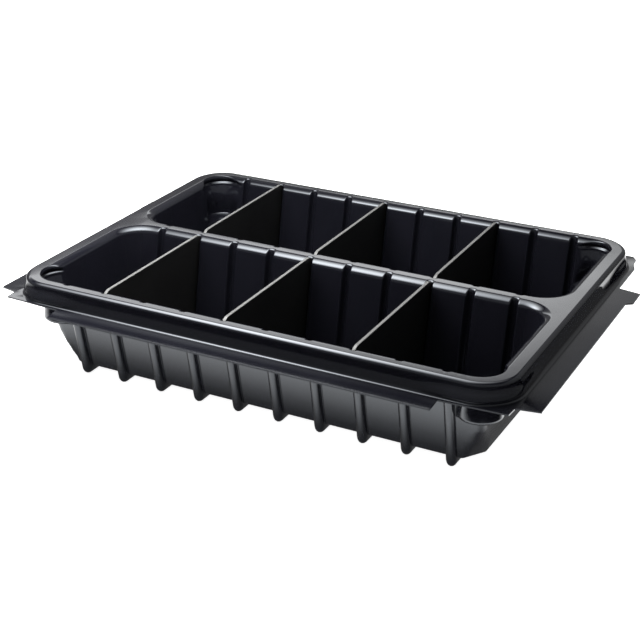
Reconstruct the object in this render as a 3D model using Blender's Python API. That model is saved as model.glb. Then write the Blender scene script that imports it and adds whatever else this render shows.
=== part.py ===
"""Divided insert tray: one vacuum-formed sheet with two slotted troughs, and six lift-out divider plates.

X runs along the tray, Y from its front (-Y) to its rear, Z up. The origin is on the surface that the tray
stands on, under its middle. The tray is modelled as it is made: a single thin surface, drawn as closed
rings of points that step down each trough and out over the rim, which a Solidify modifier then thickens.
"""

import math

import bmesh
import bpy
from mathutils import Vector

MM = 0.001

# Driving dimensions
PITCH = 28.0 * MM  # from one divider slot to the next
SLOT_COUNT = 10  # slots along each long wall
DIVIDER_SLOTS = {"left": 1, "middle": 4, "right": 7}  # the slots that hold a divider, counted from -X
RIM_HEIGHT = 67.2 * MM  # rim plane above the surface that the tray stands on
SHEET = 0.9 * MM

# Troughs: each opening is given where it leaves the flat rim plane
OPENING_END = 5.5 * PITCH  # half-length of an opening
OPENING_OUTER = 3.98 * PITCH  # outer long edge, from the tray's middle line
OPENING_INNER = 0.11 * PITCH  # edge beside the bridge, which is half the bridge's flat top
OUTER_CORNER = ((0.0, 16.0 * MM), (30.0 * MM, 4.5 * MM))  # (depth, plan radius) of an opening's outer corners
BRIDGE_CORNER = 22.0 * MM  # plan radius of its two corners beside the bridge
EDGE_RADIUS = 4.2 * MM  # roll of the wall into the rim plane
EDGE_DEPTHS = (0.0, 0.8 * MM, 2.0 * MM)  # levels at which that roll is drawn
FLOOR_RADIUS = 1.6 * MM
FLOOR_DEPTH = 60.7 * MM
FLOOR_BEND_SHARES = (0.0, 0.6, 1.0)  # levels of the bend into the floor, as shares of its height
LONG_DRAFT = math.radians(10.7)
END_DRAFT = math.radians(8.4)

# Divider slots: grooves down both long walls and across the floor, which stand out as ribs below
SLOT_DEPTH = 4.0 * MM
SLOT_SECTION = ((2.9 * MM, 0.0), (2.0 * MM, 0.74), (1.1 * MM, 1.0))  # (half-width, share of the depth)
SLOT_EDGE_RADIUS = 0.8 * MM
SLOT_TOE_RADIUS = 3.5 * MM  # bend of the groove from the wall to the floor
SLOT_FLOOR_DEPTH = RIM_HEIGHT - SHEET

# Outer corners of the troughs: every angle is seen from this point of the plan
CORNER_EYE = (4.66 * PITCH, 3.0 * PITCH)
CORNER_STEPS = 9
COLUMN_CENTRE = (5.05 * PITCH, 3.45 * PITCH)  # round recess that runs from the rim plane half-way down
COLUMN_RADII = (  # (depth, radius), with an undercut ledge near the top and a bay at the bottom
    (0.0, 14.8 * MM),
    (2.0 * MM, 13.9 * MM),
    (4.4 * MM, 15.4 * MM),
    (5.4 * MM, 15.6 * MM),
    (6.5 * MM, 12.7 * MM),
    (15.5 * MM, 11.4 * MM),
    (29.5 * MM, 12.6 * MM),
)
COLUMN_END_DEPTH = 31.5 * MM
FACET_DEPTH = 38.0 * MM  # level just below the top of the flat that cuts the corner off towards the floor
FACET_NORMAL = (0.826, 0.563)  # the flat's direction in plan
FACET_REACH = 6.263 * PITCH  # its distance from the tray's middle at that level
FACET_SLOPE = 0.537  # how much nearer it is for each unit of depth

# Rim and lip
RIM_END = 5.78 * PITCH  # half-length of the flat rim plane
RIM_SIDE = 4.175 * PITCH
RIM_CORNER = 21.5 * MM
RIM_CORNER_STEPS = 8
RIM_EDGE_RADIUS = 2.2 * MM
RIM_LEAN = 1.3 * MM  # how far the rim wall leans out over its height
RIM_WALL = (  # (depth, share of the lean, share of the corner lugs' swelling) of each level of the rim wall
    (5.6 * MM, 0.2, 0.0),
    (7.6 * MM, 0.5, 1.0),
    (10.3 * MM, 1.0, 1.0),
    (11.1 * MM, 1.0, 0.4),
)
LIP_DEPTH = 12.3 * MM
LIP_BEND = 1.2 * MM  # radius between the rim wall and the lip
LUG_REACH = 1.7 * MM  # swelling of the rim wall around each corner
LUG_START = (4.3 * PITCH, 2.6 * PITCH)
LUG_FULL = (4.6 * PITCH, 2.9 * PITCH)
LIP_WIDE = (6.43 * PITCH, 4.765 * PITCH)  # half-length and half-width of the lip where it is wide
LIP_NARROW = (6.07 * PITCH, 4.4 * PITCH)  # the same where it is narrow
FRONT_LIP_END = 4.5 * PITCH
FRONT_CORNER = (5.93 * PITCH, -4.33 * PITCH)
FRONT_GAP = (5.95 * PITCH, -4.03 * PITCH)  # bottom of the cut between the front corner and the side lip
SIDE_LIP_FRONT = -3.88 * PITCH
SIDE_LIP_REAR = 2.43 * PITCH
TAB_START = 1.72 * PITCH
TAB_REACH = 0.13 * PITCH
REAR_CORNER = ((6.07 * PITCH, 3.67 * PITCH), (5.97 * PITCH, 3.95 * PITCH), (5.95 * PITCH, 4.22 * PITCH))
REAR_CORNER_END = 5.83 * PITCH

# Dividers
DIVIDER_THICKNESS = 2.2 * MM
DIVIDER_END_GAP = 0.5 * MM  # to the bottom of a groove, at each end and below
DIVIDER_RISE = 0.9 * MM  # above the rim plane
DIVIDER_SHOULDER = (4.5 * MM, 1.9 * MM)  # length and drop of the eased top corners
DIVIDER_TOE_RADIUS = 4.2 * MM
DIVIDER_TOE_STEPS = 3
DIVIDER_BEVEL = 0.3 * MM

BLACK_STYRENE = (0.012, 0.012, 0.013, 1.0)
SLATE_STYRENE = (0.02, 0.02, 0.022, 1.0)


# ---------------------------------------------------------------- wall section

def wall_inset(depth, draft, edge_radius, floor_depth, floor_radius):
    """How far a wall stands in from the edge of its opening, at a depth below the rim plane."""
    edge_end = edge_radius * (1 - math.sin(draft))
    floor_start = floor_depth - floor_radius * (1 - math.sin(draft))
    if depth <= edge_end:
        angle = math.asin(1 - depth / edge_radius)
        return edge_radius * math.cos(angle)
    straight = min(depth, floor_start) - edge_end
    inset = edge_radius * math.cos(draft) + straight * math.tan(draft)
    if depth > floor_start:
        turned = min(1.0, math.sin(draft) + (depth - floor_start) / floor_radius)
        inset += floor_radius * (math.cos(draft) - math.sqrt(1 - turned * turned))
    return inset


def floor_bend_inset(depth):
    """How far the bend into the floor turns a wall inwards at a depth."""
    straight_inset = wall_inset(depth, END_DRAFT, EDGE_RADIUS, RIM_HEIGHT, FLOOR_RADIUS)
    return end_inset(depth) - straight_inset


def long_inset(depth):
    return wall_inset(depth, LONG_DRAFT, EDGE_RADIUS, FLOOR_DEPTH, FLOOR_RADIUS)


def end_inset(depth):
    return wall_inset(depth, END_DRAFT, EDGE_RADIUS, FLOOR_DEPTH, FLOOR_RADIUS)


def edge_run(radius):
    """Distance from an opening's edge to where its straight wall would meet the rim plane."""
    return radius * math.tan((math.pi / 2 - LONG_DRAFT) / 2)


def groove_point(depth):
    """(inset, depth) of the bottom of a groove, at the level where the wall beside it is this deep."""
    toe_start = SLOT_FLOOR_DEPTH - SLOT_TOE_RADIUS * (1 - math.sin(LONG_DRAFT))
    floor_start = FLOOR_DEPTH - FLOOR_RADIUS * (1 - math.sin(LONG_DRAFT))
    if depth >= floor_start:
        share = (depth - floor_start) / (FLOOR_DEPTH - floor_start)
        depth = toe_start + share * (SLOT_FLOOR_DEPTH - toe_start)
    inset = wall_inset(depth, LONG_DRAFT, SLOT_EDGE_RADIUS, SLOT_FLOOR_DEPTH, SLOT_TOE_RADIUS)
    return inset + edge_run(EDGE_RADIUS) - edge_run(SLOT_EDGE_RADIUS) - SLOT_DEPTH, depth


def trough_levels():
    """Depths of the rings: the rolled edge, the corner's features, and the bend into the floor."""
    levels = set(EDGE_DEPTHS)
    levels.add(EDGE_RADIUS * (1 - math.sin(LONG_DRAFT)))
    levels.update(depth for depth, radius in COLUMN_RADII)
    levels.update((COLUMN_END_DEPTH, FACET_DEPTH))
    floor_bend = FLOOR_RADIUS * (1 - math.sin(LONG_DRAFT))
    levels.update(FLOOR_DEPTH - floor_bend * (1 - share) for share in FLOOR_BEND_SHARES)
    return sorted(levels)


# ---------------------------------------------------------------- trough corners

def ray_to_corner(direction, reach, radius):
    """Distance from the eye, at the origin, to a rounded corner whose two walls are at reach."""
    cos, sin = direction
    if sin * reach[0] <= cos * (reach[1] - radius):
        return reach[0] / cos
    if cos * reach[1] <= sin * (reach[0] - radius):
        return reach[1] / sin
    return ray_to_circle(direction, (reach[0] - radius, reach[1] - radius), radius)


def ray_to_circle(direction, centre, radius):
    """Distance from the eye to the far side of a circle, or 0 where the ray misses it."""
    along = direction[0] * centre[0] + direction[1] * centre[1]
    inside = along * along - centre[0] ** 2 - centre[1] ** 2 + radius * radius
    return along + math.sqrt(inside) if inside > 0 else 0.0


def radius_at(depth, radii):
    """Radius at a depth, on the ramp through the (depth, radius) pairs."""
    for (upper, start), (lower, end) in zip(radii, radii[1:]):
        if depth <= lower:
            return start + (end - start) * (depth - upper) / (lower - upper)
    return radii[-1][1]


def corner_distance(direction, depth):
    """Distance from the eye to the corner's surface in one direction, at one depth."""
    reach = (
        OPENING_END - end_inset(depth) - CORNER_EYE[0],
        OPENING_OUTER - long_inset(depth) - CORNER_EYE[1],
    )
    distance = ray_to_corner(direction, reach, radius_at(depth, OUTER_CORNER))
    if depth < COLUMN_END_DEPTH:
        centre = (COLUMN_CENTRE[0] - CORNER_EYE[0], COLUMN_CENTRE[1] - CORNER_EYE[1])
        return max(distance, ray_to_circle(direction, centre, radius_at(depth, COLUMN_RADII)))
    reach = FACET_REACH - FACET_SLOPE * (depth - FACET_DEPTH) - floor_bend_inset(depth)
    reach -= FACET_NORMAL[0] * CORNER_EYE[0] + FACET_NORMAL[1] * CORNER_EYE[1]
    return min(distance, reach / (FACET_NORMAL[0] * direction[0] + FACET_NORMAL[1] * direction[1]))


def outer_corner(depth):
    """Points of the +X outer corner, from the long wall round to the end wall."""
    points = []
    for step in range(CORNER_STEPS + 1):
        angle = math.pi / 2 * (1 - step / CORNER_STEPS)
        direction = (math.cos(angle), math.sin(angle))
        distance = corner_distance(direction, depth)
        x = CORNER_EYE[0] + distance * direction[0]
        points.append((x, CORNER_EYE[1] + distance * direction[1], depth))
    return points


def bridge_corner(depth):
    """Points of the +X corner beside the bridge, from the end wall round to the long wall."""
    points = []
    steps = CORNER_STEPS // 2
    for step in range(steps + 1):
        angle = math.pi / 2 * step / steps
        x = OPENING_END - BRIDGE_CORNER + (BRIDGE_CORNER - end_inset(depth)) * math.cos(angle)
        y = OPENING_INNER + BRIDGE_CORNER - (BRIDGE_CORNER - long_inset(depth)) * math.sin(angle)
        points.append((x, y, depth))
    return points


# ---------------------------------------------------------------- troughs

def slot_x(index):
    return (index - (SLOT_COUNT - 1) / 2) * PITCH


def long_wall_stations():
    """(x, share of the groove's depth) of each point along a long wall."""
    section = [(-half_width, share) for half_width, share in SLOT_SECTION]
    section += reversed(SLOT_SECTION)
    return [(slot_x(i) + offset, share) for i in range(SLOT_COUNT) for offset, share in section]


def long_wall(depth, edge, inward):
    """Points of a long wall at one level. inward is -1 on the outer wall and 1 beside the bridge."""
    points = []
    for x, share in long_wall_stations():
        groove_inset, groove_depth = groove_point(depth)
        inset = (1 - share) * long_inset(depth) + share * groove_inset
        points.append((x, edge + inward * inset, (1 - share) * depth + share * groove_depth))
    return points


def mirrored(points):
    return [(-x, y, depth) for x, y, depth in reversed(points)]


def trough_ring(depth):
    """One level of a trough, as (x, distance from the tray's middle line, depth) all the way round."""
    outer = long_wall(depth, OPENING_OUTER, -1)
    inner = long_wall(depth, OPENING_INNER, 1)
    corner = outer_corner(depth)
    by_bridge = bridge_corner(depth)
    ring = outer + corner + by_bridge + inner[::-1]
    return ring + mirrored(by_bridge) + mirrored(corner)


def add_ring(mesh, points):
    return [mesh.verts.new(point) for point in points]


def bridge_rings(mesh, upper, lower):
    for i in range(len(upper)):
        j = (i + 1) % len(upper)
        mesh.faces.new((upper[i], upper[j], lower[j], lower[i]))


def close_floor(mesh, ring):
    """Joins the last ring across the trough: a strip for each pair of stations, and a cap at each end."""
    count = len(long_wall_stations())
    first_inner = count + (CORNER_STEPS + 1) + (CORNER_STEPS // 2 + 1)
    outer = ring[:count]
    inner = ring[first_inner:first_inner + count][::-1]
    for i in range(count - 1):
        mesh.faces.new((outer[i], outer[i + 1], inner[i + 1], inner[i]))
    mesh.faces.new(ring[count - 1:first_inner + 1])
    mesh.faces.new(ring[first_inner + count - 1:] + ring[:1])


def add_trough(mesh, side):
    """Adds one trough, side -1 in front and 1 behind, and returns the ring in the rim plane."""
    rings = []
    for depth in trough_levels():
        points = [(x, side * y, RIM_HEIGHT - d) for x, y, d in trough_ring(depth)]
        rings.append(add_ring(mesh, points))
    for upper, lower in zip(rings, rings[1:]):
        bridge_rings(mesh, upper, lower)
    close_floor(mesh, rings[-1])
    return rings[0]


# ---------------------------------------------------------------- rim and lip

def smooth_step(value, start, end):
    share = min(1.0, max(0.0, (value - start) / (end - start)))
    return share * share * (3 - 2 * share)


def rim_plan(offset):
    """Plan points of the rim, offset outwards from the edge of its flat top."""
    radius = RIM_CORNER + offset
    centre = (RIM_END - RIM_CORNER, RIM_SIDE - RIM_CORNER)
    quarter = [
        (0.0, centre[1] + radius),
        (LUG_START[0], centre[1] + radius),
        (LUG_FULL[0], centre[1] + radius),
    ]
    for step in range(RIM_CORNER_STEPS + 1):
        angle = math.pi / 2 * (1 - step / RIM_CORNER_STEPS)
        quarter.append((centre[0] + radius * math.cos(angle), centre[1] + radius * math.sin(angle)))
    quarter += [
        (centre[0] + radius, LUG_FULL[1]),
        (centre[0] + radius, LUG_START[1]),
        (centre[0] + radius, 0.0),
    ]
    rear_right = quarter[:-1]
    front_right = [(x, -y) for x, y in reversed(quarter[1:])]
    half = rear_right + front_right
    return half + [(-x, -y) for x, y in half]


def rim_levels():
    """(offset, depth, share of the corner lugs' swelling) from the flat top down to the lip."""
    levels = []
    for angle in (0, 30, 60, 90):
        turn = math.radians(angle)
        levels.append((RIM_EDGE_RADIUS * math.sin(turn), RIM_EDGE_RADIUS * (1 - math.cos(turn)), 0.0))
    for depth, lean_share, lug_share in RIM_WALL:
        levels.append((RIM_EDGE_RADIUS + lean_share * RIM_LEAN, depth, lug_share))
    for angle in (45, 90):
        turn = math.radians(angle)
        offset = RIM_EDGE_RADIUS + RIM_LEAN + LIP_BEND * (1 - math.cos(turn))
        levels.append((offset, LIP_DEPTH - LIP_BEND * (1 - math.sin(turn)), 0.0))
    return levels


def rim_ring(mesh, offset, depth, lug_share):
    points = []
    for (x, y), (lug_x, lug_y) in zip(rim_plan(offset), rim_plan(offset + LUG_REACH)):
        near = smooth_step(abs(x), LUG_START[0], LUG_FULL[0])
        near *= smooth_step(abs(y), LUG_START[1], LUG_FULL[1])
        share = lug_share * near
        x += share * (lug_x - x)
        y += share * (lug_y - y)
        points.append((x, y, RIM_HEIGHT - depth))
    return add_ring(mesh, points)


def lip_outline():
    """Trimmed edge of the lip: wide along the sides, narrow round the corners, with a tab at the rear."""
    wide_x, wide_y = LIP_WIDE
    narrow_x, narrow_y = LIP_NARROW
    half = [
        (FRONT_LIP_END, -wide_y),
        (FRONT_LIP_END, -narrow_y),
        FRONT_CORNER,
        FRONT_GAP,
        (wide_x, SIDE_LIP_FRONT),
        (wide_x, TAB_START),
        (wide_x + TAB_REACH, TAB_START + TAB_REACH),
        (wide_x + TAB_REACH, SIDE_LIP_REAR),
        (narrow_x, SIDE_LIP_REAR),
        *REAR_CORNER,
        (REAR_CORNER_END, narrow_y),
        (FRONT_LIP_END, narrow_y),
        (FRONT_LIP_END, wide_y),
    ]
    return half + [(-x, y) for x, y in reversed(half)]


def fill_between(mesh, *rings):
    """Fills the flat region between closed rings of points."""
    edges = []
    for ring in rings:
        for i in range(len(ring)):
            pair = (ring[i], ring[(i + 1) % len(ring)])
            edges.append(mesh.edges.get(pair) or mesh.edges.new(pair))
    bmesh.ops.triangle_fill(mesh, use_beauty=True, edges=edges)


def add_rim(mesh):
    """Adds the rim wall and the lip, and returns the ring in the rim plane."""
    rings = [rim_ring(mesh, *level) for level in rim_levels()]
    for upper, lower in zip(rings, rings[1:]):
        bridge_rings(mesh, upper, lower)
    lip_height = RIM_HEIGHT - LIP_DEPTH
    edge = add_ring(mesh, [(x, y, lip_height) for x, y in lip_outline()])
    fill_between(mesh, rings[-1], edge)
    return rings[0]


# ---------------------------------------------------------------- objects

def plastic(name, colour, roughness):
    material = bpy.data.materials.new(name)
    material.use_nodes = True
    shader = material.node_tree.nodes["Principled BSDF"]
    shader.inputs["Base Color"].default_value = colour
    shader.inputs["Roughness"].default_value = roughness
    shader.inputs["Metallic"].default_value = 0.0
    material.diffuse_color = colour
    return material


def add_object(name, mesh, material):
    data = bpy.data.meshes.new(name)
    mesh.to_mesh(data)
    mesh.free()
    data.materials.append(material)
    data.shade_smooth()
    data.set_sharp_from_angle(angle=math.radians(30))
    made = bpy.data.objects.new(name, data)
    bpy.context.scene.collection.objects.link(made)
    return made


def merge_flat_faces(mesh):
    """Joins neighbouring faces that lie in one plane, which leaves the walls as plain panels."""
    bmesh.ops.dissolve_limit(
        mesh, angle_limit=math.radians(0.4), verts=mesh.verts, edges=mesh.edges
    )


def face_upwards(mesh):
    bmesh.ops.recalc_face_normals(mesh, faces=mesh.faces)
    highest = max(mesh.faces, key=lambda face: face.calc_center_median().z)
    if highest.normal.z < 0:
        bmesh.ops.reverse_faces(mesh, faces=mesh.faces)


def make_tray():
    mesh = bmesh.new()
    openings = [add_trough(mesh, side) for side in (-1, 1)]
    rim = add_rim(mesh)
    fill_between(mesh, rim, *openings)
    face_upwards(mesh)
    merge_flat_faces(mesh)
    tray = add_object("tray", mesh, plastic("tray_plastic", BLACK_STYRENE, 0.22))
    thicken = tray.modifiers.new("sheet_thickness", "SOLIDIFY")
    thicken.thickness = SHEET
    thicken.offset = -1.0
    thicken.use_even_offset = True
    thicken.thickness_clamp = 0.0
    return tray


def groove_lines():
    """Distance of both groove bottoms from the tray's middle line where they would meet the rim plane."""
    run = edge_run(EDGE_RADIUS) - SLOT_DEPTH
    return OPENING_INNER + run, OPENING_OUTER - run


def divider_outline():
    """Half of the plate's outline in (y, z) from the top middle down, y from the plate's middle."""
    inner, outer = groove_lines()
    top = RIM_HEIGHT + DIVIDER_RISE
    bottom = RIM_HEIGHT - SLOT_FLOOR_DEPTH + DIVIDER_END_GAP
    lean = math.tan(LONG_DRAFT)
    half_at_rim = (outer - inner) / 2 - DIVIDER_END_GAP / math.cos(LONG_DRAFT)
    length, drop = DIVIDER_SHOULDER
    shoulder_y = half_at_rim + (DIVIDER_RISE - drop) * lean
    points = [(shoulder_y - length, top), (shoulder_y - 0.35 * length, top - 0.3 * drop)]
    points.append((shoulder_y, top - drop))
    toe_height = bottom + DIVIDER_TOE_RADIUS * (1 - math.sin(LONG_DRAFT))
    toe_y = half_at_rim - (RIM_HEIGHT - toe_height) * lean
    for step in range(DIVIDER_TOE_STEPS + 1):
        angle = LONG_DRAFT + (math.pi / 2 - LONG_DRAFT) * step / DIVIDER_TOE_STEPS
        y = toe_y - DIVIDER_TOE_RADIUS * (math.cos(LONG_DRAFT) - math.cos(angle))
        z = toe_height - DIVIDER_TOE_RADIUS * (math.sin(angle) - math.sin(LONG_DRAFT))
        points.append((y, z))
    return points


def divider_mesh():
    """The plate about its own origin, which is on the surface that the tray stands on."""
    half = divider_outline()
    outline = half + [(-y, z) for y, z in reversed(half)]
    mesh = bmesh.new()
    face = mesh.faces.new([mesh.verts.new((-DIVIDER_THICKNESS / 2, y, z)) for y, z in outline])
    grown = bmesh.ops.extrude_face_region(mesh, geom=[face])
    moved = [item for item in grown["geom"] if isinstance(item, bmesh.types.BMVert)]
    bmesh.ops.translate(mesh, verts=moved, vec=Vector((DIVIDER_THICKNESS, 0, 0)))
    bmesh.ops.recalc_face_normals(mesh, faces=mesh.faces)
    return mesh


def make_divider(name, x, y, material):
    divider = add_object(name, divider_mesh(), material)
    divider.location = (x, y, 0.0)
    bevel = divider.modifiers.new("eased_edges", "BEVEL")
    bevel.width = DIVIDER_BEVEL
    bevel.segments = 1
    bevel.limit_method = "ANGLE"
    bevel.angle_limit = math.radians(60)


def main():
    for old in list(bpy.data.objects):
        bpy.data.objects.remove(old, do_unlink=True)
    make_tray()
    material = plastic("divider_plastic", SLATE_STYRENE, 0.45)
    middle = sum(groove_lines()) / 2
    for row, side in (("front", -1), ("rear", 1)):
        for place, slot in DIVIDER_SLOTS.items():
            make_divider(f"divider_{row}_{place}", slot_x(slot), side * middle, material)


main()
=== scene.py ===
"""Looks of the divided insert tray: a finely curved version of its formed sheet and plates, and a studio.

Everything is in metres in the CAD frame: X along the tray, Y from its front (-Y) to its rear, Z up.
The sheet is drawn as closed rings of points that step down each trough and out over the rim, and a
Solidify modifier then gives it its thickness. "Depth" is always measured down from the rim plane.
"""

import math

import bmesh
import bpy
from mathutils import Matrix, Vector


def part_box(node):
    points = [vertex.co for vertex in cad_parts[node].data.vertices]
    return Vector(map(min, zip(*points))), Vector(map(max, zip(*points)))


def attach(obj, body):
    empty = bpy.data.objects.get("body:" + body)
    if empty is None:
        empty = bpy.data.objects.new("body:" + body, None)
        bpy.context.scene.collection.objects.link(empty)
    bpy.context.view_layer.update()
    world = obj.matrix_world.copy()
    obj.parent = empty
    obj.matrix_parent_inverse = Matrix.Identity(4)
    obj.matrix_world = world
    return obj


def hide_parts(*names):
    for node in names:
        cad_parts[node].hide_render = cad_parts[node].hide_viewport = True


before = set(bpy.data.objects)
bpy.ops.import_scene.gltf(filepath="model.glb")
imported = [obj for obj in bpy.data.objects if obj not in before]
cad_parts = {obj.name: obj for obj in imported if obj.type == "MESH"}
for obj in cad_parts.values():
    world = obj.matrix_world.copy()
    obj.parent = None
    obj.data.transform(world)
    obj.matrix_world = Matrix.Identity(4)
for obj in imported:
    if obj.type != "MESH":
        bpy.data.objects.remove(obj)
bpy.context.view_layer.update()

MM = 0.001

# Driving dimensions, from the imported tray
TRAY_LOW, TRAY_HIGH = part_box("tray")
LENGTH_IN_PITCHES = 13.12  # over the tabs of the lip
PITCH = (TRAY_HIGH.x - TRAY_LOW.x) / LENGTH_IN_PITCHES  # from one divider slot to the next
RIM_HEIGHT = TRAY_HIGH.z
SLOT_COUNT = 10
SHEET = 0.9 * MM

# Troughs: each opening is given where it leaves the flat rim plane
OPENING_END = 5.5 * PITCH
OPENING_OUTER = 3.98 * PITCH
OPENING_INNER = 0.11 * PITCH
OUTER_CORNER = ((0.0, 16.0 * MM), (30.0 * MM, 4.5 * MM))  # (depth, plan radius)
BRIDGE_CORNER = 22.0 * MM
EDGE_RADIUS = 4.2 * MM  # the roll into the rim plane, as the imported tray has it
EDGE_ARCS = (  # (radius, turn at its end in degrees, steps) of the eased roll, from the rim plane down
    (3.0 * MM, 14.0, 2),
    (7.0 * MM, 42.0, 5),
    (4.0 * MM, 90.0, 6),
)
FLOOR_RADIUS = 1.6 * MM
FLOOR_DEPTH = 60.7 * MM
RING_DEPTHS = ((8.0 * MM, 9), (28.5 * MM, 5), (32.0 * MM, 6), (40.0 * MM, 5))  # (depth, rings down to it)
LOWER_WALL_STEPS = 3
FLOOR_STEPS = 5
LONG_DRAFT = math.radians(10.7)
END_DRAFT = math.radians(8.4)

# Divider slots, as grooves with a round bottom and eased lips
SLOT_DEPTH = 4.0 * MM
SLOT_ROOT_RADIUS = 2.2 * MM
SLOT_ROOT_STEPS = 4
SLOT_LIP_RADIUS = 1.05 * MM
SLOT_LIP_STEPS = 3
SLOT_SIDE_DRAFT = math.radians(8.0)
SLOT_EDGE_RADIUS = 1.6 * MM
SLOT_TOE_RADIUS = 3.5 * MM
SLOT_FLOOR_DEPTH = RIM_HEIGHT - SHEET

# Outer corners of the troughs, seen from an eye point in plan
CORNER_EYE = (4.66 * PITCH, 3.0 * PITCH)
CORNER_STEPS = 36
BRIDGE_CORNER_STEPS = 12
COLUMN_CENTRE = (5.05 * PITCH, 3.45 * PITCH)
COLUMN_RADII = (  # (depth, radius) of each outer corner's round recess, undercut near its top
    (0.0, 13.2 * MM),
    (2.0 * MM, 12.7 * MM),
    (5.0 * MM, 14.8 * MM),
    (6.4 * MM, 13.7 * MM),
    (15.5 * MM, 10.6 * MM),
    (29.5 * MM, 12.4 * MM),
)
COLUMN_END = (29.3 * MM, 31.7 * MM)  # depths between which the recess ends in its own small floor
# The slanted facet below each recess: its plan normal, and its reach from the tray's middle at FACET_DEPTH
FACET_DEPTH = 38.0 * MM
FACET_NORMAL = (0.826, 0.563)
FACET_REACH = 6.263 * PITCH
FACET_SLOPE = 0.537  # how far it comes in for each unit of depth
CREASE_EASE = 1.2 * MM  # softening where two of a corner's surfaces meet

# Finish of the edges of both kinds of piece
SHARP_ANGLE = math.radians(60)
TRAY_BEVEL = 0.12 * MM
TRAY_BEVEL_STEPS = 1
DIVIDER_BEVEL = 0.35 * MM
DIVIDER_BEVEL_STEPS = 3

# Rim and lip
RIM_END = 5.78 * PITCH
RIM_SIDE = 4.175 * PITCH
RIM_CORNER = 21.5 * MM
RIM_CORNER_STEPS = 22
RIM_EDGE_RADIUS = 2.2 * MM
RIM_EDGE_ARCS = (  # (radius, turn at its end in degrees, steps) of the rim's outer roll
    (3.0 * MM, 8.0, 2),
    (3.6 * MM, 40.0, 6),
    (1.85 * MM, 90.0, 6),
)
RIM_LEAN = 1.3 * MM
LEFT_DIP = 0.2 * MM  # slight sag of the rim's -X end
LIP_DROOP = math.radians(4.8)  # the lip hangs a little below level
RIM_WALL_LEAN = ((2.3 * MM, 0.0), (5.6 * MM, 0.2), (7.6 * MM, 0.5), (10.3 * MM, 1.0))
RIM_WALL_DEPTHS = tuple(d * MM for d in (3.3, 4.4, 5.2, 6.0, 6.8, 7.6, 8.4, 9.3, 10.3))
LIP_DEPTH = 12.3 * MM
LIP_BEND = 2.0 * MM
LIP_BEND_STEPS = 7
LUG_REACH = 0.8 * MM
LUG_DEPTHS = (3.0 * MM, 8.5 * MM, 10.3 * MM, 12.1 * MM)  # the corner swelling starts, is full, fades and ends
LUG_START = (3.9 * PITCH, 2.2 * PITCH)
LUG_FULL = (4.8 * PITCH, 3.1 * PITCH)
LUG_STEPS = 6
LIP_WIDE = (6.43 * PITCH, 4.765 * PITCH)
LIP_NARROW = (6.07 * PITCH, 4.4 * PITCH)
FRONT_LIP_END = 4.5 * PITCH
FRONT_CORNER = (5.93 * PITCH, -4.33 * PITCH)
FRONT_GAP = (5.95 * PITCH, -4.03 * PITCH)
SIDE_LIP_FRONT = -3.88 * PITCH
SIDE_LIP_REAR = 2.43 * PITCH
TAB_START = 1.72 * PITCH
TAB_REACH = 0.13 * PITCH
REAR_CORNER = ((6.07 * PITCH, 3.67 * PITCH), (5.97 * PITCH, 3.95 * PITCH), (5.95 * PITCH, 4.22 * PITCH))
REAR_CORNER_END = 5.83 * PITCH

# Dividers
DIVIDER_END_GAP = 0.5 * MM
DIVIDER_SHOULDER = (4.5 * MM, 1.9 * MM)
DIVIDER_SHOULDER_STEPS = 8
DIVIDER_TOE_RADIUS = 4.2 * MM
DIVIDER_TOE_STEPS = 10

# Materials: colours are linear, and a noise pattern is (scale, detail)
PLASTIC_IOR = 1.5
NOISE_RANGE = (0.3, 0.7)  # where most values of a noise pattern lie
SHEET_TINT = (0.88, 0.94, 1.0, 1.0)
SHEET_COLOURS = ((0.0036, 0.0037, 0.0055, 1.0), (0.0058, 0.0059, 0.0084, 1.0))
SHEET_CLOUD = (30.0, 3.0)
SHEET_GRAIN = (1400.0, 2.0)
SHEET_WAVES = (55.0, 1.0)
SHEET_ROUGHNESS = (0.08, 0.105)
SHEET_GRAIN_ROUGHNESS = 0.015
SHEET_WAVE_HEIGHT = 0.02 * MM
SHEET_GRAIN_HEIGHT = 0.0012 * MM
DUST_SCALE = 420.0
DUST_SIZE = 0.05  # in cells of the speck pattern
DUST_CORE = 0.4  # share of a speck's size that is solid
DUST_PATCHES = (90.0, 2.0)
DUST_PATCH_EDGE = (0.56, 0.66)
DUST_COLOUR = (0.02, 0.02, 0.022, 1.0)
DUST_ROUGHNESS = 0.05
PLATE_COLOURS = ((0.0046, 0.0046, 0.0046, 1.0), (0.0066, 0.0066, 0.0066, 1.0))
PLATE_SPECULAR = 0.3
PLATE_CLOUD = (38.0, 4.0)
PLATE_GRAIN = (2200.0, 2.0)
PLATE_STREAKS = (60.0, 3.0)
STREAK_SCALE = (1.0, 0.6, 9.0)
PLATE_ROUGHNESS = (0.3, 0.36)
STREAK_ROUGHNESS = 0.05
STREAK_HEIGHT = 0.02 * MM
PLATE_GRAIN_HEIGHT = 0.012 * MM
CUT_COLOURS = ((0.06, 0.06, 0.058, 1.0), (0.12, 0.12, 0.116, 1.0))
CUT_TILT = (0.3, 0.8)  # the normal's share along X on the plate's edge, and on its face

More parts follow.
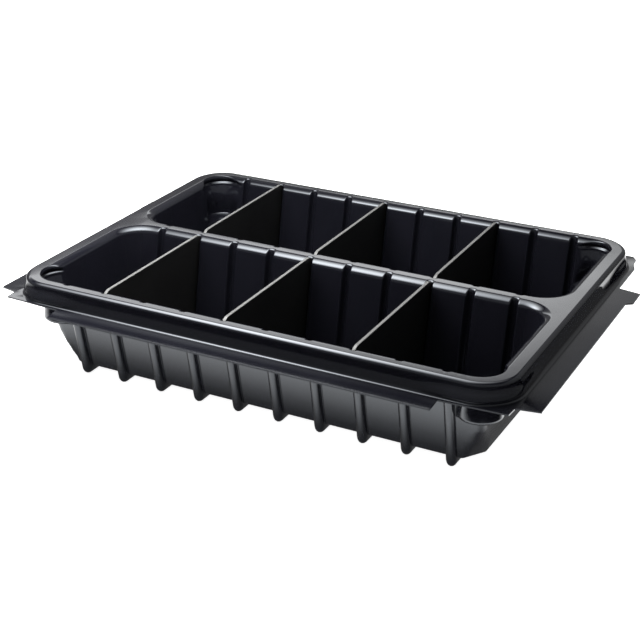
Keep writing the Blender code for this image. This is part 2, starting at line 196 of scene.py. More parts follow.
# Camera and studio
CAMERA_PLACE = Vector((0.37206, -0.73259, 0.40653))
CAMERA_FORWARD = Vector((-0.41807, 0.80446, -0.42198))
CAMERA_LENS = 77.84
CAMERA_SENSOR = 36.0
CAMERA_REACH = 100.0  # beyond the far edge of the floor
FLOOR_SIZE = 40.0
FLOOR_DROP = 0.3 * MM  # keeps the floor clear of the tray's underside and of the table
FLOOR_CLOUD = (2.0, 2.0)
FLOOR_COLOURS = ((0.86, 0.86, 0.86, 1.0), (0.9, 0.9, 0.9, 1.0))
FLOOR_ROUGHNESS = (0.75, 0.85)
FLOOR_GLOW = 0.95
# Table card that only gloss sees, and no lamp: it glows with painted light and the tray's painted shadow
TABLE_SIZE = (1.0, 0.9)
TABLE_PAINTED_SHADOW = (0.15, 0.0985)  # half-size of the tray's footprint, where the table card has the tray's painted shadow
TABLE_GLOW = 3.4
TABLE_STOPS = (  # (distance outside the painted shadow, brightness): painted shade near the tray, a painted pool of light, then dark
    (0.0, 0.05), (0.008, 0.1), (0.016, 0.27), (0.025, 0.6), (0.034, 0.9),
    (0.05, 1.0), (0.13, 0.8), (0.22, 0.25), (0.3, 0.04),
)
TABLE_FRONT = (-0.235, -0.155)  # Y over which painted darkening at the front of the table fades out
TABLE_RIGHT = (0.25, 0.205)  # and X at its right
SOFTBOX_PLACE = (-0.11, -0.075, RIM_HEIGHT + 0.22)
SOFTBOX_SIZE = 0.46
SOFTBOX_TURN = math.radians(28)
SOFTBOX_STRETCH = 1.6
SOFTBOX_GLOW = 23.0
SOFTBOX_STOPS = (  # (distance from its middle, brightness)
    (0.0, 1.0), (0.03, 0.92), (0.06, 0.73), (0.09, 0.49),
    (0.12, 0.28), (0.15, 0.135), (0.18, 0.05), (0.22, 0.0),
)
WORLD_GLOW = 4.0
BACKDROP_DIRECTION = (-0.643, 0.766, 0.0)
BACKDROP_SPREAD = (0.75, 0.88)  # a direction's share along the backdrop's, at its sides and where it is full
BACKDROP_LEVELS = (  # (elevation in degrees, brightness)
    (0, 0.2), (18, 0.22), (20.0, 0.3), (20.8, 1.0), (21.5, 2.6), (22.4, 3.8), (24.0, 3.1),
    (25.6, 2.7), (26.8, 1.4), (28, 0.6), (31, 0.35), (50, 0.4), (90, 0.4),
)
ROOM_LEVELS = ((0, 0.2), (20, 0.35), (40, 0.4), (90, 0.4))


# ---------------------------------------------------------------- wall section

def arc_chain(arcs, last_turn):
    """(run, drop) of points along arcs that turn from level down to last_turn."""
    points = [(0.0, 0.0)]
    turned = 0.0
    for radius, end, steps in arcs:
        end = min(math.radians(end), last_turn)
        run, drop = points[-1]
        for step in range(1, steps + 1):
            angle = turned + (end - turned) * step / steps
            points.append((
                run + radius * (math.sin(angle) - math.sin(turned)),
                drop + radius * (math.cos(turned) - math.cos(angle)),
            ))
        turned = end
    return points


def edge_profile(draft):
    """(inset, depth) of points on the eased roll, which ends on the same straight wall as a plain one."""
    points = arc_chain(EDGE_ARCS, math.pi / 2 - draft)
    start = edge_run(EDGE_RADIUS, draft) + points[-1][1] * math.tan(draft) - points[-1][0]
    return [(start + inset, depth) for inset, depth in points]


def eased_inset(depth, draft):
    """A wall's inset with the eased roll at its top."""
    profile = edge_profile(draft)
    for (inset, upper), (next_inset, lower) in zip(profile, profile[1:]):
        if depth <= lower:
            return inset + (next_inset - inset) * (depth - upper) / (lower - upper)
    return wall_inset(depth, draft, EDGE_RADIUS, FLOOR_DEPTH, FLOOR_RADIUS)


def wall_inset(depth, draft, edge_radius, floor_depth, floor_radius):
    """How far a wall stands in from the edge of its opening, at a depth below the rim plane."""
    edge_end = edge_radius * (1 - math.sin(draft))
    floor_start = floor_depth - floor_radius * (1 - math.sin(draft))
    if depth <= edge_end:
        return edge_radius * math.cos(math.asin(1 - depth / edge_radius))
    straight = min(depth, floor_start) - edge_end
    inset = edge_radius * math.cos(draft) + straight * math.tan(draft)
    if depth > floor_start:
        turned = min(1.0, math.sin(draft) + (depth - floor_start) / floor_radius)
        inset += floor_radius * (math.cos(draft) - math.sqrt(1 - turned * turned))
    return inset


def long_inset(depth):
    return eased_inset(depth, LONG_DRAFT)


def end_inset(depth):
    return eased_inset(depth, END_DRAFT)


def floor_bend_inset(depth):
    """How far the bend into the floor turns a wall inwards at a depth."""
    return end_inset(depth) - wall_inset(depth, END_DRAFT, EDGE_RADIUS, RIM_HEIGHT, FLOOR_RADIUS)


def edge_run(radius, draft):
    """Distance from an opening's edge to where its straight wall would meet the rim plane."""
    return radius * math.tan((math.pi / 2 - draft) / 2)


def groove_point(depth):
    """(inset, depth) of the bottom of a groove, at the level where the wall beside it is this deep."""
    toe_start = SLOT_FLOOR_DEPTH - SLOT_TOE_RADIUS * (1 - math.sin(LONG_DRAFT))
    floor_start = FLOOR_DEPTH - FLOOR_RADIUS * (1 - math.sin(LONG_DRAFT))
    if depth >= floor_start:
        share = (depth - floor_start) / (FLOOR_DEPTH - floor_start)
        depth = toe_start + share * (SLOT_FLOOR_DEPTH - toe_start)
    inset = wall_inset(depth, LONG_DRAFT, SLOT_EDGE_RADIUS, SLOT_FLOOR_DEPTH, SLOT_TOE_RADIUS)
    run = edge_run(EDGE_RADIUS, LONG_DRAFT) - edge_run(SLOT_EDGE_RADIUS, LONG_DRAFT)
    return inset + run - SLOT_DEPTH, depth


def steps_between(start, end, count):
    """Evenly spaced values after start, up to and including end."""
    return [start + (end - start) * i / count for i in range(1, count + 1)]


def trough_levels():
    """Depths of the rings: the rolled edge, the corner's features, and the bend into the floor."""
    levels = [depth for _, depth in edge_profile(LONG_DRAFT)]
    floor_turn = math.pi / 2 - LONG_DRAFT
    floor_start = FLOOR_DEPTH - FLOOR_RADIUS * (1 - math.sin(LONG_DRAFT))
    for depth, count in (*RING_DEPTHS, (floor_start, LOWER_WALL_STEPS)):
        levels += steps_between(levels[-1], depth, count)
    for i in range(1, FLOOR_STEPS + 1):
        angle = LONG_DRAFT + floor_turn * i / FLOOR_STEPS
        levels.append(FLOOR_DEPTH - FLOOR_RADIUS * (1 - math.sin(angle)))
    return levels


# ---------------------------------------------------------------- trough corners

def smooth_step(value, start, end):
    share = min(1.0, max(0.0, (value - start) / (end - start)))
    return share * share * (3 - 2 * share)


def soft_max(a, b):
    """The larger of two distances, with the crease between them eased."""
    near = max(CREASE_EASE - abs(a - b), 0.0) / CREASE_EASE
    return max(a, b) + near * near * CREASE_EASE / 4


def soft_min(a, b):
    near = max(CREASE_EASE - abs(a - b), 0.0) / CREASE_EASE
    return min(a, b) - near * near * CREASE_EASE / 4


def ray_to_circle(direction, centre, radius):
    """Distance from the eye to the far side of a circle, or 0 where the ray misses it."""
    along = direction[0] * centre[0] + direction[1] * centre[1]
    inside = along * along - centre[0] ** 2 - centre[1] ** 2 + radius * radius
    return along + math.sqrt(inside) if inside > 0 else 0.0


def ray_to_corner(direction, reach, radius):
    """Distance from the eye, at the origin, to a rounded corner whose two walls are at reach."""
    cos, sin = direction
    if sin * reach[0] <= cos * (reach[1] - radius):
        return reach[0] / cos
    if cos * reach[1] <= sin * (reach[0] - radius):
        return reach[1] / sin
    return ray_to_circle(direction, (reach[0] - radius, reach[1] - radius), radius)


def ramp(value, pairs, ease):
    """The (value, height) pairs joined by a ramp, with level ends to every stretch if ease is set."""
    for (upper, start), (lower, end) in zip(pairs, pairs[1:]):
        if value <= lower:
            share = smooth_step(value, upper, lower) if ease else (value - upper) / (lower - upper)
            return start + (end - start) * share
    return pairs[-1][1]


def corner_distance(direction, depth):
    """Distance from the eye to the corner's surface in one direction, at one depth."""
    reach = (
        OPENING_END - end_inset(depth) - CORNER_EYE[0],
        OPENING_OUTER - long_inset(depth) - CORNER_EYE[1],
    )
    plain = ray_to_corner(direction, reach, ramp(depth, OUTER_CORNER, False))
    centre = (COLUMN_CENTRE[0] - CORNER_EYE[0], COLUMN_CENTRE[1] - CORNER_EYE[1])
    column = soft_max(plain, ray_to_circle(direction, centre, ramp(depth, COLUMN_RADII, True)))
    facet_reach = FACET_REACH - FACET_SLOPE * (depth - FACET_DEPTH) - floor_bend_inset(depth)
    facet_reach -= FACET_NORMAL[0] * CORNER_EYE[0] + FACET_NORMAL[1] * CORNER_EYE[1]
    facing = FACET_NORMAL[0] * direction[0] + FACET_NORMAL[1] * direction[1]
    faceted = soft_min(plain, facet_reach / facing)
    share = smooth_step(depth, *COLUMN_END)
    return column + share * (faceted - column)


def outer_corner(depth):
    """Points of the +X outer corner, from the long wall round to the end wall."""
    points = []
    for step in range(CORNER_STEPS + 1):
        angle = math.pi / 2 * (1 - step / CORNER_STEPS)
        direction = (math.cos(angle), math.sin(angle))
        distance = corner_distance(direction, depth)
        x = CORNER_EYE[0] + distance * direction[0]
        points.append((x, CORNER_EYE[1] + distance * direction[1], depth))
    return points


def bridge_corner(depth):
    """Points of the +X corner beside the bridge, from the end wall round to the long wall."""
    points = []
    for step in range(BRIDGE_CORNER_STEPS + 1):
        angle = math.pi / 2 * step / BRIDGE_CORNER_STEPS
        x = OPENING_END - BRIDGE_CORNER + (BRIDGE_CORNER - end_inset(depth)) * math.cos(angle)
        y = OPENING_INNER + BRIDGE_CORNER - (BRIDGE_CORNER - long_inset(depth)) * math.sin(angle)
        points.append((x, y, depth))
    return points


# ---------------------------------------------------------------- troughs

def slot_x(index):
    return (index - (SLOT_COUNT - 1) / 2) * PITCH


def slot_section():
    """(half-width, share of the depth) across half a groove, from its lip to its bottom."""
    turn = math.pi / 2 - SLOT_SIDE_DRAFT
    root = []
    for i in range(SLOT_ROOT_STEPS + 1):
        angle = turn * i / SLOT_ROOT_STEPS
        root.append((SLOT_ROOT_RADIUS * math.sin(angle), SLOT_ROOT_RADIUS * (1 - math.cos(angle))))
    lip_height = SLOT_LIP_RADIUS * (1 - math.cos(turn))
    side_height = SLOT_DEPTH - lip_height - root[-1][1]
    lip_x = root[-1][0] + side_height * math.tan(SLOT_SIDE_DRAFT)
    lip = []
    for i in range(SLOT_LIP_STEPS + 1):
        angle = turn * (1 - i / SLOT_LIP_STEPS)
        x = lip_x + SLOT_LIP_RADIUS * (math.sin(turn) - math.sin(angle))
        lip.append((x, SLOT_DEPTH - SLOT_LIP_RADIUS * (1 - math.cos(angle))))
    return [(x, 1 - height / SLOT_DEPTH) for x, height in reversed(root + lip)]


def long_wall_stations():
    """(x, share of the groove's depth) of each point along a long wall."""
    section = slot_section()
    across = [(-half_width, share) for half_width, share in section]
    across += section[-2::-1]
    return [(slot_x(i) + offset, share) for i in range(SLOT_COUNT) for offset, share in across]


STATIONS = long_wall_stations()


def long_wall(depth, edge, inward):
    """Points of a long wall at one level. inward is -1 on the outer wall and 1 beside the bridge."""
    points = []
    groove_inset, groove_depth = groove_point(depth)
    for x, share in STATIONS:
        inset = (1 - share) * long_inset(depth) + share * groove_inset
        points.append((x, edge + inward * inset, (1 - share) * depth + share * groove_depth))
    return points


def mirrored(points):
    return [(-x, y, depth) for x, y, depth in reversed(points)]


def trough_ring(depth):
    """One level of a trough, as (x, distance from the tray's middle line, depth) all the way round."""
    outer = long_wall(depth, OPENING_OUTER, -1)
    inner = long_wall(depth, OPENING_INNER, 1)
    corner = outer_corner(depth)
    by_bridge = bridge_corner(depth)
    return outer + corner + by_bridge + inner[::-1] + mirrored(by_bridge) + mirrored(corner)


def add_ring(mesh, points):
    return [mesh.verts.new(point) for point in points]


def bridge_rings(mesh, upper, lower):
    for i in range(len(upper)):
        j = (i + 1) % len(upper)
        mesh.faces.new((upper[i], upper[j], lower[j], lower[i]))


def close_floor(mesh, ring):
    """Joins the last ring across the trough: a strip for each pair of stations, and a cap at each end."""
    count = len(STATIONS)
    first_inner = count + (CORNER_STEPS + 1) + (BRIDGE_CORNER_STEPS + 1)
    outer = ring[:count]
    inner = ring[first_inner:first_inner + count][::-1]
    for i in range(count - 1):
        mesh.faces.new((outer[i], outer[i + 1], inner[i + 1], inner[i]))
    mesh.faces.new(ring[count - 1:first_inner + 1])
    mesh.faces.new(ring[first_inner + count - 1:] + ring[:1])


def add_trough(mesh, side):
    """Adds one trough, side -1 in front and 1 behind, and returns the ring in the rim plane."""
    rings = []
    for depth in trough_levels():
        points = [(x, side * y, RIM_HEIGHT - d) for x, y, d in trough_ring(depth)]
        rings.append(add_ring(mesh, points))
    for upper, lower in zip(rings, rings[1:]):
        bridge_rings(mesh, upper, lower)
    close_floor(mesh, rings[-1])
    return rings[0]


# ---------------------------------------------------------------- rim and lip

def rim_plan(offset):
    """Plan points of the rim, offset outwards from the edge of its flat top."""
    radius = RIM_CORNER + offset
    centre = (RIM_END - RIM_CORNER, RIM_SIDE - RIM_CORNER)
    quarter = [(0.0, centre[1] + radius), (LUG_START[0], centre[1] + radius)]
    quarter += [(x, centre[1] + radius) for x in steps_between(LUG_START[0], LUG_FULL[0], LUG_STEPS)]
    for step in range(RIM_CORNER_STEPS + 1):
        angle = math.pi / 2 * (1 - step / RIM_CORNER_STEPS)
        quarter.append((centre[0] + radius * math.cos(angle), centre[1] + radius * math.sin(angle)))
    quarter.append((centre[0] + radius, LUG_FULL[1]))
    quarter += [(centre[0] + radius, y) for y in steps_between(LUG_FULL[1], LUG_START[1], LUG_STEPS)]
    quarter.append((centre[0] + radius, 0.0))
    half = quarter[:-1] + [(x, -y) for x, y in reversed(quarter[1:])]
    return half + [(-x, -y) for x, y in half]


def rim_levels():
    """(offset, depth, share of the corner swelling) from the flat top down to the lip."""
    profile = arc_chain(RIM_EDGE_ARCS, math.pi / 2)
    start = RIM_EDGE_RADIUS - profile[-1][0]
    levels = [(start + run, drop, 0.0) for run, drop in profile]
    for depth in RIM_WALL_DEPTHS:
        lug_share = smooth_step(depth, LUG_DEPTHS[0], LUG_DEPTHS[1])
        lug_share *= 1 - smooth_step(depth, LUG_DEPTHS[2], LUG_DEPTHS[3])
        levels.append((RIM_EDGE_RADIUS + RIM_LEAN * ramp(depth, RIM_WALL_LEAN, False), depth, lug_share))
    for step in range(1, LIP_BEND_STEPS + 1):
        turn = math.pi / 2 * step / LIP_BEND_STEPS
        offset = RIM_EDGE_RADIUS + RIM_LEAN + LIP_BEND * (1 - math.cos(turn))
        depth = LIP_DEPTH - LIP_BEND * (1 - math.sin(turn))
        levels.append((offset, depth, 1 - smooth_step(depth, LUG_DEPTHS[2], LUG_DEPTHS[3])))
    return levels


def rim_ring(mesh, offset, depth, lug_share):
    points = []
    for (x, y), (lug_x, lug_y) in zip(rim_plan(offset), rim_plan(offset + LUG_REACH)):
        near = smooth_step(abs(x), LUG_START[0], LUG_FULL[0])
        near *= smooth_step(abs(y), LUG_START[1], LUG_FULL[1])
        share = lug_share * near
        x += share * (lug_x - x)
        y += share * (lug_y - y)
        dip = LEFT_DIP * smooth_step(-x, OPENING_END, RIM_END)
        points.append((x, y, RIM_HEIGHT - depth - dip))
    return add_ring(mesh, points)


def lip_depth(x, y):
    """Depth of the lip, which droops away from the rim wall."""
    inner = RIM_EDGE_RADIUS + RIM_LEAN + LIP_BEND
    out = max(abs(x) - RIM_END - inner, abs(y) - RIM_SIDE - inner, 0.0)
    return LIP_DEPTH + out * math.tan(LIP_DROOP)


def lip_outline():
    """Trimmed edge of the lip: wide along the sides, narrow round the corners, with a tab at the rear."""
    wide_x, wide_y = LIP_WIDE
    narrow_x, narrow_y = LIP_NARROW
    half = [
        (FRONT_LIP_END, -wide_y),
        (FRONT_LIP_END, -narrow_y),
        FRONT_CORNER,
        FRONT_GAP,
        (wide_x, SIDE_LIP_FRONT),
        (wide_x, TAB_START),
        (wide_x + TAB_REACH, TAB_START + TAB_REACH),
        (wide_x + TAB_REACH, SIDE_LIP_REAR),
        (narrow_x, SIDE_LIP_REAR),
        *REAR_CORNER,
        (REAR_CORNER_END, narrow_y),
        (FRONT_LIP_END, narrow_y),
        (FRONT_LIP_END, wide_y),
    ]
    return half + [(-x, y) for x, y in reversed(half)]


def fill_between(mesh, *rings):
    """Fills the flat region between closed rings of points."""
    edges = []
    for ring in rings:
        for i in range(len(ring)):
            pair = (ring[i], ring[(i + 1) % len(ring)])
            edges.append(mesh.edges.get(pair) or mesh.edges.new(pair))
    bmesh.ops.triangle_fill(mesh, use_beauty=True, edges=edges)


def add_rim(mesh):
    """Adds the rim wall and the lip, and returns the ring in the rim plane."""
    rings = [rim_ring(mesh, *level) for level in rim_levels()]
    for upper, lower in zip(rings, rings[1:]):
        bridge_rings(mesh, upper, lower)
    edge = add_ring(mesh, [(x, y, RIM_HEIGHT - lip_depth(x, y)) for x, y in lip_outline()])
    fill_between(mesh, rings[-1], edge)
    return rings[0]


# ---------------------------------------------------------------- objects

def add_object(name, mesh, material):
    data = bpy.data.meshes.new(name)
    mesh.to_mesh(data)
    mesh.free()
    data.materials.append(material)
    data.shade_smooth()
    made = bpy.data.objects.new(name, data)
    bpy.context.scene.collection.objects.link(made)
    return made


def face_upwards(mesh):
    bmesh.ops.recalc_face_normals(mesh, faces=mesh.faces)
    highest = max(mesh.faces, key=lambda face: face.calc_center_median().z)
    if highest.normal.z < 0:
        bmesh.ops.reverse_faces(mesh, faces=mesh.faces)


def ease_edges(piece, width, segments):
    """Rounds a piece's sharp edges and weights its normals so that flats stay flat beside them."""
    bevel = piece.modifiers.new("eased_edges", "BEVEL")
    bevel.width = width
    bevel.segments = segments
    bevel.limit_method = "ANGLE"
    bevel.angle_limit = SHARP_ANGLE
    bevel.harden_normals = False
    weighted = piece.modifiers.new("flat_faces", "WEIGHTED_NORMAL")
    weighted.keep_sharp = True


def make_tray(material):
    mesh = bmesh.new()
    openings = [add_trough(mesh, side) for side in (-1, 1)]
    rim = add_rim(mesh)
    fill_between(mesh, rim, *openings)
    face_upwards(mesh)
    tray = add_object("formed_tray", mesh, material)
    thicken = tray.modifiers.new("sheet_thickness", "SOLIDIFY")
    thicken.thickness = SHEET
    thicken.offset = -1.0
    thicken.use_even_offset = True
    thicken.thickness_clamp = 0.0
    ease_edges(tray, TRAY_BEVEL, TRAY_BEVEL_STEPS)
    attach(tray, "tray")
    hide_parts("tray")


def divider_outline(low, high):
    """Half of a plate's outline in (y, z) from the top middle down, y from the plate's middle."""
    run = edge_run(EDGE_RADIUS, LONG_DRAFT) - SLOT_DEPTH
    half_span = (OPENING_OUTER - OPENING_INNER) / 2 - run
    lean = math.tan(LONG_DRAFT)
    half_at_rim = half_span - DIVIDER_END_GAP / math.cos(LONG_DRAFT)
    length, drop = DIVIDER_SHOULDER
    shoulder_y = half_at_rim + (high - RIM_HEIGHT - drop) * lean
    points = []
    for step in range(DIVIDER_SHOULDER_STEPS + 1):
        share = step / DIVIDER_SHOULDER_STEPS
        points.append((shoulder_y - length * (1 - share), high - drop * share * share))
    toe_height = low + DIVIDER_TOE_RADIUS * (1 - math.sin(LONG_DRAFT))
    toe_y = half_at_rim - (RIM_HEIGHT - toe_height) * lean
    for step in range(DIVIDER_TOE_STEPS + 1):
        angle = LONG_DRAFT + (math.pi / 2 - LONG_DRAFT) * step / DIVIDER_TOE_STEPS
        y = toe_y - DIVIDER_TOE_RADIUS * (math.cos(LONG_DRAFT) - math.cos(angle))
        points.append((y, toe_height - DIVIDER_TOE_RADIUS * (math.sin(angle) - math.sin(LONG_DRAFT))))
    return points


def make_divider(node, material):
    low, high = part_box(node)
    middle = (low.y + high.y) / 2
    half = divider_outline(low.z, high.z)
    outline = half + [(-y, z) for y, z in reversed(half)]
    mesh = bmesh.new()
    face = mesh.faces.new([mesh.verts.new((low.x, middle + y, z)) for y, z in outline])
    grown = bmesh.ops.extrude_face_region(mesh, geom=[face])
    moved = [item for item in grown["geom"] if isinstance(item, bmesh.types.BMVert)]
    bmesh.ops.translate(mesh, verts=moved, vec=Vector((high.x - low.x, 0, 0)))
    bmesh.ops.recalc_face_normals(mesh, faces=mesh.faces)
    plate = add_object(node + "_plate", mesh, material)
    ease_edges(plate, DIVIDER_BEVEL, DIVIDER_BEVEL_STEPS)
    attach(plate, node)
    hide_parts(node)


# ---------------------------------------------------------------- materials

class Nodes:
    """Short calls for building one material's node tree."""

    def __init__(self, name):
        self.material = bpy.data.materials.new(name)
        self.material.use_nodes = True
        self.tree = self.material.node_tree
        self.shader = self.tree.nodes["Principled BSDF"]
        self.place = self.add("ShaderNodeTexCoord").outputs["Object"]

    def add(self, kind, **settings):
        node = self.tree.nodes.new(kind)
        for key, value in settings.items():
            setattr(node, key, value)
        return node

    def link(self, output, socket):
        self.tree.links.new(output, socket)

    def stretched(self, scale):
        """Object coordinates multiplied by a scale for each axis."""
        mapping = self.add("ShaderNodeMapping")
        mapping.inputs["Scale"].default_value = scale
        self.link(self.place, mapping.inputs["Vector"])
        return mapping.outputs["Vector"]

    def noise(self, scale, detail, place=None):
        node = self.add("ShaderNodeTexNoise")
        node.inputs["Scale"].default_value = scale
        node.inputs["Detail"].default_value = detail
        self.link(place or self.place, node.inputs["Vector"])
        return node.outputs["Fac"]

    def specks(self, scale, size, core):
        """1 in the core of small round specks scattered over the surface, 0 outside them."""
        node = self.add("ShaderNodeTexVoronoi")
        node.inputs["Scale"].default_value = scale
        self.link(self.place, node.inputs["Vector"])
        return self.span(node.outputs["Distance"], size * core, size, 1.0, 0.0)

    def cut_edge(self):
        """1 on the narrow edges of a plate that stands across X, 0 on its faces."""
        split = self.add("ShaderNodeSeparateXYZ")
        coordinates = self.add("ShaderNodeTexCoord")
        self.link(coordinates.outputs["Normal"], split.inputs["Vector"])
        return self.span(self.math("ABSOLUTE", split.outputs["X"], 0.0), *CUT_TILT, 1.0, 0.0)

    def span(self, value, low, high, to_low, to_high):
        node = self.add("ShaderNodeMapRange")
        for key, number in (("From Min", low), ("From Max", high), ("To Min", to_low), ("To Max", to_high)):
            node.inputs[key].default_value = number
        self.link(value, node.inputs["Value"])
        return node.outputs["Result"]

    def spread(self, noise, low, high):
        """A noise pattern's usual values spread from low to high."""
        return self.span(noise, *NOISE_RANGE, low, high)

    def math(self, operation, a, b):
        node = self.add("ShaderNodeMath", operation=operation)
        for socket, value in zip(node.inputs, (a, b)):
            if isinstance(value, float):
                socket.default_value = value
            else:
                self.link(value, socket)
        return node.outputs["Value"]

    def mix(self, share, a, b):
        """a where share is 0 and b where it is 1, each a colour or another node's output."""
        node = self.add("ShaderNodeMix", data_type="RGBA")
        for key, value in (("A", a), ("B", b)):
            if isinstance(value, tuple):
                node.inputs[key].default_value = value
            else:
                self.link(value, node.inputs[key])
        self.link(share, node.inputs["Factor"])
        return node.outputs["Result"]

    def bump(self, height, distance, below=None):
        node = self.add("ShaderNodeBump")
        node.inputs["Distance"].default_value = distance
        self.link(height, node.inputs["Height"])
        if below:
            self.link(below, node.inputs["Normal"])
        return node.outputs["Normal"]


def tray_plastic():
    """Glossy black formed sheet: faint waviness and mould texture, dust, and roughness that wanders."""
    nodes = Nodes("formed_sheet")
    shader = nodes.shader
    shader.inputs["IOR"].default_value = PLASTIC_IOR
    shader.inputs["Specular Tint"].default_value = SHEET_TINT
    cloud = nodes.noise(*SHEET_CLOUD)
    grain = nodes.noise(*SHEET_GRAIN)
    patches = nodes.span(nodes.noise(*DUST_PATCHES), *DUST_PATCH_EDGE, 0.0, 1.0)
    dust = nodes.math("MULTIPLY", nodes.specks(DUST_SCALE, DUST_SIZE, DUST_CORE), patches)
    colour = nodes.mix(dust, nodes.mix(cloud, *SHEET_COLOURS), DUST_COLOUR)
    nodes.link(colour, shader.inputs["Base Color"])
    grainy = nodes.spread(grain, 0.0, SHEET_GRAIN_ROUGHNESS)
    rough = nodes.math("ADD", nodes.spread(cloud, *SHEET_ROUGHNESS), grainy)
    rough = nodes.math("ADD", rough, nodes.math("MULTIPLY", dust, DUST_ROUGHNESS))
    nodes.link(rough, shader.inputs["Roughness"])
    wavy = nodes.bump(nodes.noise(*SHEET_WAVES), SHEET_WAVE_HEIGHT)
    nodes.link(nodes.bump(grain, SHEET_GRAIN_HEIGHT, wavy), shader.inputs["Normal"])
    return nodes.material


def divider_plastic():
    """Satin near-black sheet cut to plates: fine grain, faint streaks, and a paler cut edge."""
    nodes = Nodes("plate_sheet")
    shader = nodes.shader
    shader.inputs["IOR"].default_value = PLASTIC_IOR
    shader.inputs["Specular IOR Level"].default_value = PLATE_SPECULAR
    cloud = nodes.noise(*PLATE_CLOUD)
    streaks = nodes.noise(*PLATE_STREAKS, nodes.stretched(STREAK_SCALE))
    grain = nodes.noise(*PLATE_GRAIN)
    colour = nodes.mix(nodes.cut_edge(), nodes.mix(cloud, *PLATE_COLOURS), nodes.mix(grain, *CUT_COLOURS))
    nodes.link(colour, shader.inputs["Base Color"])
    streaked = nodes.spread(streaks, 0.0, STREAK_ROUGHNESS)
    nodes.link(nodes.math("ADD", nodes.spread(cloud, *PLATE_ROUGHNESS), streaked), shader.inputs["Roughness"])
    streaky = nodes.bump(streaks, STREAK_HEIGHT)
    nodes.link(nodes.bump(grain, PLATE_GRAIN_HEIGHT, streaky), shader.inputs["Normal"])
    return nodes.material


# ---------------------------------------------------------------- studio

def stage_card(name, size, place, material):
    """A level rectangle of the studio, with its middle at place."""
    mesh = bmesh.new()
    bmesh.ops.create_grid(mesh, x_segments=1, y_segments=1, size=0.5)
    bmesh.ops.scale(mesh, vec=(size[0], size[1], 1.0), verts=mesh.verts)
    card = add_object(name, mesh, material)
    card.location = place
    return card


def studio_floor():
    """Pale floor, bright enough to hold no hard shadow. Gloss doesn't see it, but the glowing table card with
    its painted light and shadow instead.
    """
    nodes = Nodes("pale_floor")
    cloud = nodes.noise(*FLOOR_CLOUD)
    nodes.link(nodes.mix(cloud, *FLOOR_COLOURS), nodes.shader.inputs["Base Color"])
    nodes.link(nodes.spread(cloud, *FLOOR_ROUGHNESS), nodes.shader.inputs["Roughness"])
    nodes.shader.inputs["Emission Color"].default_value = (1.0, 1.0, 1.0, 1.0)
    nodes.shader.inputs["Emission Strength"].default_value = FLOOR_GLOW
    floor = stage_card("studio_floor", (FLOOR_SIZE, FLOOR_SIZE), (0, 0, -FLOOR_DROP), nodes.material)
    floor.visible_glossy = False


def distance_outside(nodes, half_x, half_y):
    """How far a point of a card lies outside a rectangle around the card's middle."""
    split = nodes.add("ShaderNodeSeparateXYZ")
    nodes.link(nodes.place, split.inputs["Vector"])
    over = []
    for axis, half in (("X", half_x), ("Y", half_y)):
        reach = nodes.math("SUBTRACT", nodes.math("ABSOLUTE", split.outputs[axis], 0.0), half)
        over.append(nodes.math("MAXIMUM", reach, 0.0))
    squares = [nodes.math("MULTIPLY", value, value) for value in over]
    return nodes.math("SQRT", nodes.math("ADD", squares[0], squares[1]), 0.0)


def set_stops(node, stops):
    """Gives a new colour ramp its greys, from (position, level) stops."""
    elements = node.color_ramp.elements
    elements.remove(elements[0])
    for i, (position, level) in enumerate(stops):
        element = elements[0] if i == 0 else elements.new(position)
        element.position = position
        element.color = (level, level, level, 1.0)


def glowing(name, half_x, half_y, stops, strength, fades=None):
    """A material that glows by the distance outside a rectangle, through (distance, level) stops.

    fades gives, along X and along Y, where the glow is out and where it is full.
    """
    nodes = Nodes(name)
    reach = stops[-1][0]
    levels = nodes.add("ShaderNodeValToRGB")
    set_stops(levels, [(distance / reach, level) for distance, level in stops])
    nodes.link(nodes.math("DIVIDE", distance_outside(nodes, half_x, half_y), reach), levels.inputs["Fac"])
    nodes.link(levels.outputs["Color"], nodes.shader.inputs["Emission Color"])
    nodes.shader.inputs["Base Color"].default_value = (0.0, 0.0, 0.0, 1.0)
    nodes.shader.inputs["Specular IOR Level"].default_value = 0.0
    nodes.shader.inputs["Emission Strength"].default_value = strength
    if fades:
        split = nodes.add("ShaderNodeSeparateXYZ")
        nodes.link(nodes.place, split.inputs["Vector"])
        along_x = nodes.span(split.outputs["X"], *fades[0], 0.0, 1.0)
        along_y = nodes.span(split.outputs["Y"], *fades[1], 0.0, 1.0)
        lit = nodes.math("MULTIPLY", nodes.math("MULTIPLY", along_x, along_y), strength)
        nodes.link(lit, nodes.shader.inputs["Emission Strength"])
    return nodes.material


def painted_reflection_table():
    """Table card that only gloss sees, and no lamp: it glows with the tray's painted shadow beside it, a
    painted pool of light around it, then dark.
    """
    material = glowing("table_painted_light_and_shadow", *TABLE_PAINTED_SHADOW, TABLE_STOPS, TABLE_GLOW, (TABLE_RIGHT, TABLE_FRONT))
    table = stage_card("painted_reflection_table", TABLE_SIZE, (0, 0, 0), material)
    table.visible_camera = False
    table.visible_diffuse = False
    table.visible_shadow = False


def studio_softbox():
    """Soft light close over the front left of the tray, brightest in its middle and longer one way."""
    material = glowing("softbox", 0.0, 0.0, SOFTBOX_STOPS, SOFTBOX_GLOW)
    softbox = stage_card("studio_softbox", (SOFTBOX_SIZE, SOFTBOX_SIZE), SOFTBOX_PLACE, material)
    softbox.rotation_euler.z = SOFTBOX_TURN
    softbox.scale.x = SOFTBOX_STRETCH
    softbox.visible_camera = False
    softbox.visible_shadow = False


def elevation_ramp(tree, height, stops):
    """Brightness over the sine of the elevation, from (degrees, brightness) stops."""
    node = tree.nodes.new("ShaderNodeValToRGB")
    set_stops(node, [(math.sin(math.radians(degrees)), level / WORLD_GLOW) for degrees, level in stops])
    tree.links.new(height, node.inputs["Fac"])
    return node.outputs["Color"]


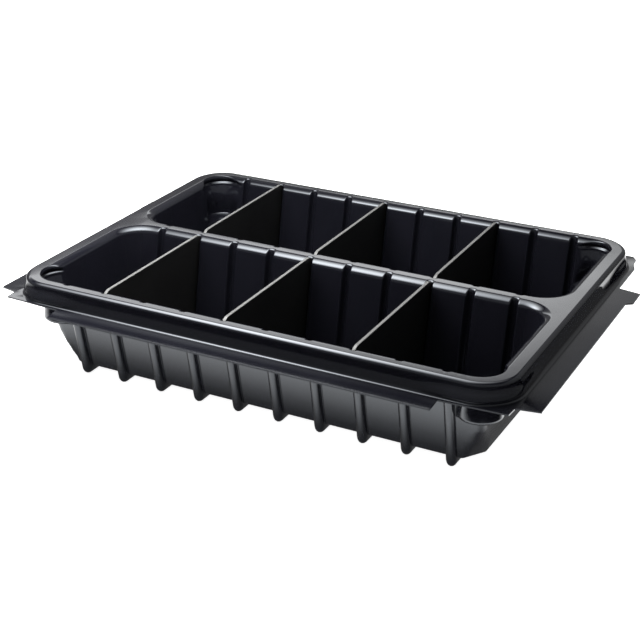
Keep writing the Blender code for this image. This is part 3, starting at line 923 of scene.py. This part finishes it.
def studio_backdrop():
    """A dim room with a bright backdrop low behind the tray, seen in the level parts of its rim."""
    world = bpy.data.worlds.new("studio")
    bpy.context.scene.world = world
    world.use_nodes = True
    tree = world.node_tree
    background = tree.nodes["Background"]
    direction = tree.nodes.new("ShaderNodeTexCoord").outputs["Generated"]
    split = tree.nodes.new("ShaderNodeSeparateXYZ")
    tree.links.new(direction, split.inputs["Vector"])
    rear = elevation_ramp(tree, split.outputs["Z"], BACKDROP_LEVELS)
    room = elevation_ramp(tree, split.outputs["Z"], ROOM_LEVELS)
    facing = tree.nodes.new("ShaderNodeVectorMath")
    facing.operation = "DOT_PRODUCT"
    facing.inputs[1].default_value = BACKDROP_DIRECTION
    tree.links.new(direction, facing.inputs[0])
    behind = tree.nodes.new("ShaderNodeMapRange")
    behind.interpolation_type = "SMOOTHSTEP"
    behind.inputs["From Min"].default_value = BACKDROP_SPREAD[0]
    behind.inputs["From Max"].default_value = BACKDROP_SPREAD[1]
    tree.links.new(facing.outputs["Value"], behind.inputs["Value"])
    mix = tree.nodes.new("ShaderNodeMix")
    mix.data_type = "RGBA"
    tree.links.new(behind.outputs["Result"], mix.inputs["Factor"])
    tree.links.new(room, mix.inputs["A"])
    tree.links.new(rear, mix.inputs["B"])
    tree.links.new(mix.outputs["Result"], background.inputs["Color"])
    background.inputs["Strength"].default_value = WORLD_GLOW


def studio_camera():
    camera = bpy.data.cameras.new("camera")
    camera.lens = CAMERA_LENS
    camera.sensor_width = CAMERA_SENSOR
    camera.clip_end = CAMERA_REACH
    made = bpy.data.objects.new("camera", camera)
    made.location = CAMERA_PLACE
    made.rotation_euler = CAMERA_FORWARD.to_track_quat("-Z", "Y").to_euler()
    bpy.context.scene.collection.objects.link(made)
    bpy.context.scene.camera = made


# ---------------------------------------------------------------- scene

make_tray(tray_plastic())
plate_material = divider_plastic()
for node_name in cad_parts:
    if node_name != "tray":
        make_divider(node_name, plate_material)
studio_floor()
painted_reflection_table()
studio_softbox()
studio_backdrop()
studio_camera()
bpy.context.scene.view_settings.view_transform = "Standard"
